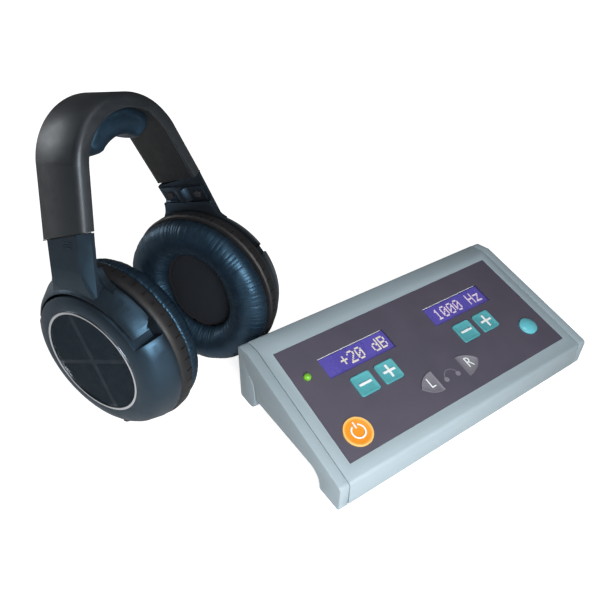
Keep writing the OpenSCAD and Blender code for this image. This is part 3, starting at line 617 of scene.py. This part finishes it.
def stroke(x, s, wide, high, up=SIGN_UP):
    """A flat bar of print."""
    bpy.ops.mesh.primitive_cube_add(size=1, location=(x, s, up))
    bpy.context.object.scale = (wide, high, PRINT_THICK)
    return bpy.context.object


for node, x, plus in (("level_down_key", -54.714, False), ("level_up_key", -35.714, True),
                      ("frequency_down_key", 33.458, False), ("frequency_up_key", 52.458, True)):
    bars = [stroke(x, KEY_ROW, BAR_LONG, BAR_WIDE)]
    if plus:
        for away_from_bar in (STUB_AWAY, -STUB_AWAY):
            bars.append(stroke(x, KEY_ROW + away_from_bar, BAR_WIDE, STUB_LONG))
    sign = joined(bars, f"{node}_sign") if plus else made(f"{node}_sign")
    place(sign, panel)
    applied(sign, "BEVEL", width=0.04 * MM, segments=1)
    hand_over(sign, node + "_body", white_print_and_glint)


LETTER_ROW, LETTER_UP = 26.9, 0.95
LETTER_SIZE, LETTER_NARROW, LETTER_HALF_THICK = 10.5, 0.85, 0.06


def lettering(side, text, x):
    """An ear key's letter as thin raised print, centred on a point of the panel."""
    bpy.ops.object.text_add(location=(0, 0, 0))
    words = bpy.context.object
    words.data.body = text
    words.data.size = LETTER_SIZE
    words.data.extrude = LETTER_HALF_THICK
    words.data.align_x, words.data.align_y = "CENTER", "CENTER"
    only(words)
    bpy.ops.object.convert(target="MESH")
    letter = made(f"{NAMES[side]}_ear_letter")
    letter.scale = (LETTER_NARROW, 1, 1)
    letter.location = (x, LETTER_ROW, LETTER_UP)
    edit(letter)
    bpy.ops.mesh.remove_doubles(threshold=0.001)
    place(letter, panel)
    hand_over(letter, f"{NAMES[side]}_ear_key_body", white_print_and_glint)


lettering(LEFT, "L", -17.4)
lettering(RIGHT, "R", 16.4)


# %% Power sign and headphone sign
HOOP_SIDES = 8


def arc_band(name, middle, radius, width, thick, start, sweep):
    """A flat hoop of print; what lies outside the sweep is cut away and its ends are closed."""
    bpy.ops.mesh.primitive_torus_add(major_segments=96, minor_segments=HOOP_SIDES,
                                     major_radius=radius, minor_radius=width / 2, location=middle)
    band = made(name)
    band.scale = (1, 1, thick / width)
    only(band)
    bpy.ops.object.transform_apply(location=True, rotation=True, scale=True)

    def outside(face):
        bearing = math.atan2(face.center.y - middle[1], face.center.x - middle[0])
        return (math.degrees(bearing) - start) % 360 > sweep

    edit(band, outside)
    bpy.ops.mesh.delete(type="FACE")
    bpy.ops.mesh.select_all(action="SELECT")
    bpy.ops.mesh.fill_holes(sides=HOOP_SIDES)
    return only(band)


SIGN_ROW, LINE_ABOVE = 23.0, 4.2
ring = arc_band("power_ring", (POWER_X, SIGN_ROW, 1.0), 4.3, 1.0, PRINT_THICK, 115, 310)
line = stroke(POWER_X, SIGN_ROW + LINE_ABOVE, 1.0, 4.4, 1.0)
power_sign = place(joined([ring, line], "power_sign"), panel)
hand_over(power_sign, "power_key_body", white_print_and_glint)

hoop = arc_band("hoop", (-0.6, 24.6, 0.02), 5.2, 0.45, 0.06, 8, 164)
dots = []
for x in (-5.6, 4.4):
    bpy.ops.mesh.primitive_cylinder_add(radius=1.75, depth=0.08, vertices=32,
                                        location=(x, 24.3, 0.03))
    dots.append(bpy.context.object)
headphone_sign = place(joined([hoop] + dots, "headphone_sign"), panel)
hand_over(headphone_sign, "console", pale_print)
print("signs made")

# %% Sockets at the back
soften("headphone_jack", "console", dark_moulding, 0.25)
soften("power_jack", "console", dark_moulding, 0.25)

# %% [markdown]
# ## Headband, sliders and arms
# The headband is a U-shaped satin shell with an inner liner and a spring strip. Arms hang below
# its legs on dark sliders and widen into the crescent yokes that carry the cups. The gap between
# a leg and its arm lies almost in the camera's line of sight, so a thin dark slab of painted shade
# fills it.

# %% Headband and arms
soften("headband_shell", "headband", shell_black, 0.5, 50, 3)
soften("headband_liner", "headband", liner_and_shade_black, 0.3)
dress("headband_spring", steel)
for side in (LEFT, RIGHT):
    name = NAMES[side]
    soften(f"{name}_arm", f"{name}_yoke", black_satin, 0.5, 28, 3)
    soften(f"{name}_hinge_cover", f"{name}_yoke", black_satin, 0.3)
    soften(f"{name}_cup_housing", f"{name}_cup", black_satin, 0.35, 40, 2)
    soften(f"{name}_trim_ring", f"{name}_cup", silver, 0)
    soften(f"{name}_rim_ring", f"{name}_cup", ring_black, 0.2)
    dress(f"{name}_pivot_pins", steel)
    for ending in ("slider", "cover_screws", "baffle", "driver"):
        dress(f"{name}_{ending}", dark_moulding)
soften("cable_inlet", "left_cup", dark_moulding, 0.3)

# %% Painted shade in the gap between leg and arm
END_RUN, END_SLANT = 19.0, 12
SHADE_SLAB_WIDE, SHADE_SLAB_DEEP, SHADE_SLAB_TOP, SHADE_SLAB_FOOT = 6.0, 35.6, 0.1, 0.6


def slant_end(y):
    """Height of a leg's slanted end, y from its middle."""
    return (END_RUN - y) * math.tan(math.radians(END_SLANT))


# A thin dark slab just under each leg's slanted end is painted shade: it stands for the shade
# inside the gap, not for a part.
for side in (LEFT, RIGHT):
    bpy.ops.mesh.primitive_cube_add(size=1, location=(0, 0, 0))
    gap_shade_slab = made(f"{NAMES[side]}_arm_gap_shade")
    for vertex in gap_shade_slab.data.vertices:
        x, y, z = vertex.co
        y *= SHADE_SLAB_DEEP
        vertex.co = (x * SHADE_SLAB_WIDE, y, slant_end(y) - (SHADE_SLAB_TOP if z > 0 else SHADE_SLAB_FOOT))
    place(gap_shade_slab, leg(side))
    hand_over(gap_shade_slab, f"{NAMES[side]}_slide", liner_and_shade_black)
print("shade_slabs made")

# %% [markdown]
# ## Discs
# A dark disc closes each cup inside the silver ring. Two crossing bands divide it into four
# sectors, and each sector carries fine raised ribs. One disc is made and copied for both cups.

# %% Make the disc
DISC_R, DISC_BACK, DISC_FACE = 32.5, 55.15, 56.55
RIB_PITCH, RIB_WIDE, RIB_HIGH, RIB_SUNK = 1.3, 0.6, 0.2, 0.1
RIB_ANGLE, BAND_ANGLE = 80, 166
BAND_HALF, BAND_CLEAR, EDGE_CLEAR, SHORTEST_ROW, SHORTEST_RIB = 1.3, 0.2, 0.6, 2, 1.2


def direction(degrees):
    """A direction in the disc's plane."""
    return Vector((math.cos(math.radians(degrees)), math.sin(math.radians(degrees))))


bpy.ops.mesh.primitive_cylinder_add(radius=DISC_R, depth=DISC_FACE - DISC_BACK, vertices=128,
                                    location=((DISC_FACE + DISC_BACK) / 2, 0, 0),
                                    rotation=(0, math.pi / 2, 0))
disc_parts = [made("disc_base")]
run, band = direction(RIB_ANGLE), direction(BAND_ANGLE)
side_step = Vector((-run.y, run.x))
for index in range(-25, 26):
    offset = side_step * index * RIB_PITCH
    half = math.sqrt(max((DISC_R - EDGE_CLEAR) ** 2 - offset.length_squared, 0))
    if abs(index * RIB_PITCH) < BAND_HALF + RIB_WIDE / 2 or half < SHORTEST_ROW:
        continue
    middle = -offset.cross(band) / run.cross(band)
    gap = (BAND_HALF + BAND_CLEAR) / abs(run.cross(band))
    for start, end in ((-half, middle - gap), (middle + gap, half)):
        if end - start > SHORTEST_RIB:
            centre = offset + run * (start + end) / 2
            middle_x = DISC_FACE + RIB_HIGH / 2 - RIB_SUNK / 2
            bpy.ops.mesh.primitive_cube_add(size=1, location=(middle_x, centre.x, centre.y))
            rib = bpy.context.object
            rib.scale = (RIB_HIGH + RIB_SUNK, RIB_WIDE, end - start)
            rib.rotation_euler = (math.radians(RIB_ANGLE) - math.pi / 2, 0, 0)
            disc_parts.append(rib)
disc = joined(disc_parts, "left_disc_ribbed")
bpy.ops.object.transform_apply(location=True, rotation=True, scale=True)
print("disc ribs:", len(disc_parts) - 1)

# %% Copy it to both cups
disc_black = plastic("disc_black", (15, 20, 25), 0.5, 0.4, 0.01, 0.15, Specular_Tint=NAVY_SHEEN)
other_disc = twin(disc, "right_disc_ribbed")
for piece, side in ((disc, LEFT), (other_disc, RIGHT)):
    place(piece, cup(side))
    smooth(piece, 30)
    hand_over(piece, f"{NAMES[side]}_cup", disc_black, [f"{NAMES[side]}_disc"])

# %% [markdown]
# ## Ear pads
# Each pad is a ring of foam in soft leather, sewn round a tall oval opening. The leather is
# gathered at both seams, and this makes many short radial pleats that run out towards the crown.
# A ring is shaped first, blown up a little by a cloth simulation with its back held to the
# ring, and then the pleats are pressed in along the two seams.

# %% Leather
leather = Finish("pad_leather", (20, 29, 39), 0.4, Specular_IOR_Level=0.9, Specular_Tint=NAVY_SHEEN)
leather.paint(leather.mix(leather.noise(14), linear(15, 24, 34), linear(24, 36, 47)))
leather.shine(leather.between(leather.noise(5, 3), 0.36, 0.5))
grain = leather.node("ShaderNodeTexVoronoi", Vector=leather.place, Scale=1 / (0.9 * MM))
leather.bump(leather.noise(0.5, 3), 0.02, leather.bump(grain.outputs["Distance"], 0.03))

# %% Shape of the ring
PAD_BACK, PAD_FRONT, PAD_R = 30.6, 16.6, 51.8
HOLE_R, HOLE_TALL = 22.5, 8.0
SECTION_SEAM, INNER_LIP = 3.6, 3.0
AROUND, THROUGH = 480, 40
TORUS_R, TUBE_R = 10, 2


def hole_radius(angle):
    """Distance from the middle to the oval opening's edge; the angle starts at the back."""
    y, z = math.cos(angle), math.sin(angle)
    reach = HOLE_TALL / 2 * abs(z)
    return reach + math.sqrt(HOLE_R ** 2 - (HOLE_TALL / 2) ** 2 * y * y)


def ring_cushion(name, plump):
    """A torus whose tube is drawn into the pad's section; plump widens it all round."""
    bpy.ops.mesh.primitive_torus_add(major_segments=AROUND, minor_segments=THROUGH,
                                     major_radius=TORUS_R, minor_radius=TUBE_R,
                                     rotation=(0, math.pi / 2, 0))
    ring = made(name)
    bpy.ops.object.transform_apply(location=True, rotation=True, scale=True)
    mesh = ring.data
    co = np.empty(len(mesh.vertices) * 3)
    mesh.vertices.foreach_get("co", co)
    co = co.reshape(-1, 3)
    angle = np.arctan2(co[:, 2], co[:, 1])
    outward = (np.hypot(co[:, 1], co[:, 2]) - TORUS_R) / TUBE_R
    forward = -co[:, 0] / TUBE_R
    inner = np.array([hole_radius(a) for a in angle]) - plump
    share = 0.5 + 0.5 * np.sign(outward) * np.abs(outward) ** 0.9
    slope_in = np.clip(1 - share, 0, 1) ** 2 * INNER_LIP * np.clip(forward, 0, 1)
    radius = inner + share * (PAD_R + plump - inner) + slope_in
    middle = PAD_BACK - SECTION_SEAM
    front = middle - (middle - PAD_FRONT + plump) * np.abs(forward)
    rear = middle + (PAD_BACK - middle) * np.abs(forward) ** 0.45
    x = np.where(forward > 0, front, rear)
    co = np.stack([x, radius * np.cos(angle), radius * np.sin(angle)], axis=1)
    mesh.vertices.foreach_set("co", co.ravel())
    mesh.update()
    return ring


ear_cushion = ring_cushion("left_ear_cushion", -0.5)
print("ring cushion faces:", len(ear_cushion.data.polygons))


# %% Let it swell
# Cloth behaves best at the size of clothes, so a piece swells at ten times its size.
CLOTH_SCALE, CLOTH_FRAMES = 10.0, 20


def swell(piece, held, pressure, most_mm):
    """Blows a closed piece up as cloth.

    Points that the test holds stay, and none moves further than most_mm."""
    mesh = piece.data
    rest = np.empty(len(mesh.vertices) * 3)
    mesh.vertices.foreach_get("co", rest)
    rest = rest.reshape(-1, 3)
    mesh.transform(Matrix.Scale(MM * CLOTH_SCALE, 4))
    pins = piece.vertex_groups.new(name="held")
    pins.add([i for i, co in enumerate(rest) if held(co)], 1.0, "ADD")
    only(piece)
    cloth = piece.modifiers.new("Cloth", "CLOTH")
    cloth.settings.quality = 5
    cloth.settings.mass = 0.2
    cloth.settings.vertex_group_mass = "held"
    cloth.settings.use_pressure = True
    cloth.settings.uniform_pressure_force = pressure
    cloth.settings.tension_stiffness = cloth.settings.compression_stiffness = 12
    cloth.settings.shear_stiffness = 4
    cloth.settings.bending_stiffness = 0.4
    cloth.settings.effector_weights.gravity = 0
    cloth.point_cache.frame_start, cloth.point_cache.frame_end = 1, CLOTH_FRAMES
    for step in range(1, CLOTH_FRAMES + 1):
        bpy.context.scene.frame_set(step)
    bpy.ops.object.modifier_apply(modifier=cloth.name)
    bpy.context.scene.frame_set(1)
    swollen = np.empty(len(mesh.vertices) * 3)
    piece.data.vertices.foreach_get("co", swollen)
    moved = swollen.reshape(-1, 3) / (MM * CLOTH_SCALE) - rest
    far = np.linalg.norm(moved, axis=1, keepdims=True)
    moved *= np.minimum(1, most_mm / np.maximum(far, 1e-6))
    piece.data.vertices.foreach_set("co", (rest + moved).ravel())
    piece.data.update()
    piece.vertex_groups.clear()
    most = float(np.linalg.norm(moved, axis=1).max())
    print(piece.name, "swelled by up to", round(most, 2), "mm")


swell(ear_cushion, lambda co: co[0] > PAD_BACK - 2.5, 3.0, 1.2)

# %% Press the pleats in
INNER_FOLDS, OUTER_FOLDS = 40, 62
INNER_DEEP, OUTER_DEEP, WAVE_DEEP = 0.9, 0.75, 0.25
WAVES_PER_MM = 0.14
applied(ear_cushion, "SUBSURF", levels=1, render_levels=1)


def pleat(ring, seed):
    """Radial pleats: deep and dense at the opening, lighter at the outer seam."""
    mesh = ring.data
    count = len(mesh.vertices)
    co, normal = np.empty(count * 3), np.empty(count * 3)
    mesh.vertices.foreach_get("co", co)
    mesh.vertex_normals.foreach_get("vector", normal)
    co, normal = co.reshape(-1, 3), normal.reshape(-1, 3)
    for i in range(count):
        x, y, z = co[i]
        angle = math.atan2(z, y)
        radius = math.hypot(y, z)
        inner = hole_radius(angle)
        share = (radius - inner) / (PAD_R - inner)
        spin = Vector((math.cos(angle), math.sin(angle), seed))
        drift = noise.noise(spin * 6) * 1.6 + noise.noise(spin * 17) * 0.8
        lengths = 0.5 + 0.5 * noise.noise(spin * 23 + Vector((0, 0, 9)))
        inner_fold = abs(math.sin(angle * INNER_FOLDS + drift * 3)) ** 0.5
        outer_fold = abs(math.sin(angle * OUTER_FOLDS + drift * 4 + 1)) ** 0.5
        reach_in, reach_out = 0.4 + 0.3 * lengths, 0.35 + 0.35 * (1 - lengths)
        near_in = max(0.0, 1 - max(share, 0) / reach_in) ** 1.3
        near_out = max(0.0, 1 - max(1 - share, 0) / reach_out) ** 1.3
        spot = Vector((x * WAVES_PER_MM, y * WAVES_PER_MM, z * WAVES_PER_MM + seed))
        wave = noise.noise(spot) * WAVE_DEEP
        depth = (INNER_DEEP * near_in * (1 - inner_fold)
                 + OUTER_DEEP * near_out * (1 - outer_fold))
        if x > PAD_BACK - 1.5:
            depth, wave = 0, 0
        co[i] += normal[i] * (wave - depth)
    mesh.vertices.foreach_set("co", co.ravel())
    mesh.update()


pleat(ear_cushion, 3.0)
smooth(ear_cushion, 180)
other_cushion = twin(ear_cushion, "right_ear_cushion")
for piece, side in ((ear_cushion, LEFT), (other_cushion, RIGHT)):
    place(piece, cup(side))
    hand_over(piece, f"{NAMES[side]}_cup", leather.material, [f"{NAMES[side]}_ear_pad"])

# %% [markdown]
# ## Cloth over the drivers
# A thin woven cloth closes the oval opening and hides the driver. It is stretched over a little
# foam, so it bulges by a millimetre towards the ear.

# %% Weave
THREAD_MM, THREAD_RIPPLE, THREAD_DEEP = 0.7, 0.32, 0.08


def woven(name, side, **shader):
    """Cloth of threads that cross at right angles in its own plane."""
    finish = Finish(name, (8, 18, 30), 0.85, Sheen_Weight=0.06, Sheen_Roughness=0.4, **shader)
    mapping = finish.node("ShaderNodeMapping", Vector=finish.place)
    mapping.vector_type = "TEXTURE"
    where = Matrix.Scale(MM, 4) @ cup(side)
    mapping.inputs["Location"].default_value = where.to_translation()
    mapping.inputs["Rotation"].default_value = where.to_3x3().normalized().to_euler()
    waves = []
    for direction in ("Y", "Z"):
        wave = finish.node("ShaderNodeTexWave", Vector=mapping.outputs["Vector"],
                           Scale=THREAD_RIPPLE / (THREAD_MM * MM))
        wave.bands_direction = direction
        waves.append(wave.outputs["Fac"])
    cross = finish.node("ShaderNodeMath")
    cross.operation = "MULTIPLY"
    for socket, value in zip(cross.inputs, waves):
        finish.links.new(value, socket)
    dark, light = shade(finish.colour, 0.6), shade(finish.colour, 1.5)
    finish.paint(finish.mix(cross.outputs["Value"], dark, light))
    finish.bump(cross.outputs["Value"], THREAD_DEEP)
    return finish.material


# %% The cloth itself
CLOTH_X, CLOTH_BULGE, CLOTH_HEM, CLOTH_THICK = 30.3, 1.2, 0.5, 0.35
bpy.ops.mesh.primitive_grid_add(x_subdivisions=36, y_subdivisions=36, size=2,
                                rotation=(0, math.pi / 2, 0))
cloth_piece = made("left_driver_cloth")
bpy.ops.object.transform_apply(location=True, rotation=True, scale=True)
for vertex in cloth_piece.data.vertices:
    u, v = vertex.co.y, vertex.co.z
    y, z = u * math.sqrt(1 - v * v / 2), v * math.sqrt(1 - u * u / 2)
    far = min(math.hypot(y, z), 1)
    reach = hole_radius(math.atan2(z, y)) - CLOTH_HEM
    vertex.co = (CLOTH_X - CLOTH_BULGE * (1 - far ** 2), y * reach, z * reach)
applied(cloth_piece, "SOLIDIFY", thickness=CLOTH_THICK, offset=0)
edit(cloth_piece)
bpy.ops.mesh.normals_make_consistent(inside=False)
smooth(cloth_piece, 60)
other_cloth = twin(cloth_piece, "right_driver_cloth")
left_weave = woven("driver_cloth", LEFT, Sheen_Tint=linear(120, 150, 180))
right_weave = woven("driver_cloth_right", RIGHT)
for piece, side, weave in ((cloth_piece, LEFT, left_weave), (other_cloth, RIGHT, right_weave)):
    place(piece, cup(side))
    hand_over(piece, f"{NAMES[side]}_cup", weave, [f"{NAMES[side]}_ear_cloth"])

# %% [markdown]
# ## Cushion under the crown
# The headband's cushion is a crowned leather pad that follows the inside of the arch. A block is
# divided, rounded towards a ball, wrapped round the arch, and then blown up as cloth with its
# back held to the liner.

# %% Make the cushion
ARCH_Z, ARCH_R, ARCH_THICK, ARCH_HALF, ARCH_WIDE = 99.2, 29.6, 12.0, 58.0, 17.2
BLOCK_CUTS, ROUNDNESS, BACK_FLAT, END_CURVE = 23, 0.55, 1.3, 0.06
bpy.ops.mesh.primitive_cube_add(size=2)
crown_cushion = made("crown_cushion")
edit(crown_cushion)
bpy.ops.mesh.subdivide(number_cuts=BLOCK_CUTS)
only(crown_cushion)
for vertex in crown_cushion.data.vertices:
    u, v, w = vertex.co
    ball = Vector((u * math.sqrt(1 - v * v / 2 - w * w / 2 + v * v * w * w / 3),
                   v * math.sqrt(1 - w * w / 2 - u * u / 2 + w * w * u * u / 3),
                   w * math.sqrt(1 - u * u / 2 - v * v / 2 + u * u * v * v / 3)))
    u, v, w = vertex.co.lerp(ball, ROUNDNESS)
    w = min(w * BACK_FLAT, 1.0)
    depth = ARCH_THICK * (1 - w) / 2
    angle = math.radians(u * ARCH_HALF * (1 + END_CURVE - END_CURVE * v * v))
    radius = ARCH_R - depth
    vertex.co = (radius * math.sin(angle), v * ARCH_WIDE, ARCH_Z + radius * math.cos(angle))
edit(crown_cushion)
bpy.ops.mesh.normals_make_consistent(inside=False)
only(crown_cushion)
swell(crown_cushion, lambda co: math.hypot(co[0], co[2] - ARCH_Z) > ARCH_R - 0.8, 3.0, 1.0)
applied(crown_cushion, "SUBSURF", levels=1, render_levels=1)
smooth(crown_cushion, 180)
place(crown_cushion, headband)
hand_over(crown_cushion, "headband", leather.material, ["headband_pad"])

# %% [markdown]
# ## Studio
# The floor is plain and pale. The camera's own rays also see it shine, more with the distance, so
# it turns white while a faint shadow stays under the set. The lamps light the pieces at a level at
# which a colour looks as it is written.

# %% Floor and world
FADE_FROM, FADE_TO, FLOOR_SHINE = 0.3, 0.7, 0.82
SKY_STRENGTH = 0.09


def for_camera(tree, plain, shown, output):
    """Every ray sees the plain surface, apart from the camera's own rays."""
    rays = tree.nodes.new("ShaderNodeLightPath")
    seen = tree.nodes.new("ShaderNodeMixShader")
    tree.links.new(rays.outputs["Is Camera Ray"], seen.inputs["Fac"])
    tree.links.new(plain, seen.inputs[1])
    tree.links.new(shown, seen.inputs[2])
    tree.links.new(seen.outputs[0], tree.nodes[output].inputs["Surface"])


bpy.ops.mesh.primitive_plane_add(size=12, location=(0, 0, 0))
floor = made("studio_floor")
paper = bpy.data.materials.new("studio_paper")
paper.use_nodes = True
nodes, links = paper.node_tree.nodes, paper.node_tree.links
surface = nodes["Principled BSDF"]
surface.inputs["Base Color"].default_value = (0.8, 0.8, 0.8, 1)
surface.inputs["Roughness"].default_value = 0.9
surface.inputs["Specular IOR Level"].default_value = 0.1
white = nodes.new("ShaderNodeEmission")
middle_of_floor = nodes.new("ShaderNodeTexCoord")
away = nodes.new("ShaderNodeVectorMath")
away.operation = "LENGTH"
fade = nodes.new("ShaderNodeMapRange")
for name, value in (("From Min", FADE_FROM), ("From Max", FADE_TO), ("To Min", FLOOR_SHINE)):
    fade.inputs[name].default_value = value
links.new(middle_of_floor.outputs["Object"], away.inputs[0])
links.new(away.outputs["Value"], fade.inputs["Value"])
links.new(fade.outputs["Result"], white.inputs["Strength"])
both = nodes.new("ShaderNodeAddShader")
links.new(surface.outputs[0], both.inputs[0])
links.new(white.outputs[0], both.inputs[1])
for_camera(paper.node_tree, surface.outputs[0], both.outputs[0], "Material Output")
floor.data.materials.append(paper)

world = bpy.data.worlds.new("studio_world")
bpy.context.scene.world = world
world.use_nodes = True
sky = world.node_tree.nodes["Background"]
sky.inputs["Color"].default_value = (0.92, 0.96, 1.0, 1)
sky.inputs["Strength"].default_value = SKY_STRENGTH
blank = world.node_tree.nodes.new("ShaderNodeBackground")
blank.inputs["Color"].default_value = (1, 1, 1, 1)
for_camera(world.node_tree, sky.outputs[0], blank.outputs[0], "World Output")


# %% Lamps
def softbox(name, at, towards, size, watts):
    """A square lamp that faces a point."""
    lamp_data = bpy.data.lights.new(name, "AREA")
    lamp_data.shape, lamp_data.size, lamp_data.energy = "SQUARE", size, watts
    box = bpy.data.objects.new(name, lamp_data)
    bpy.context.scene.collection.objects.link(box)
    box.location = at
    box.rotation_mode = "QUATERNION"
    box.rotation_quaternion = (Vector(towards) - Vector(at)).to_track_quat("-Z", "Y")


softbox("near_light", (-0.14, -0.38, 0.24), (-0.02, 0, 0.03), 0.2, 2.1)
softbox("top_light", (0, -0.41, 1.19), (0, 0, 0.05), 0.6, 2.1)
softbox("back_light", (-0.3, 0.5, 1.5), (0, 0, 0.05), 1.0, 0.8)
softbox("rim_light", (-0.72, 0.9, 0.42), (-0.1, 0, 0.1), 0.5, 3.0)

bpy.context.scene.view_settings.view_transform = "Standard"
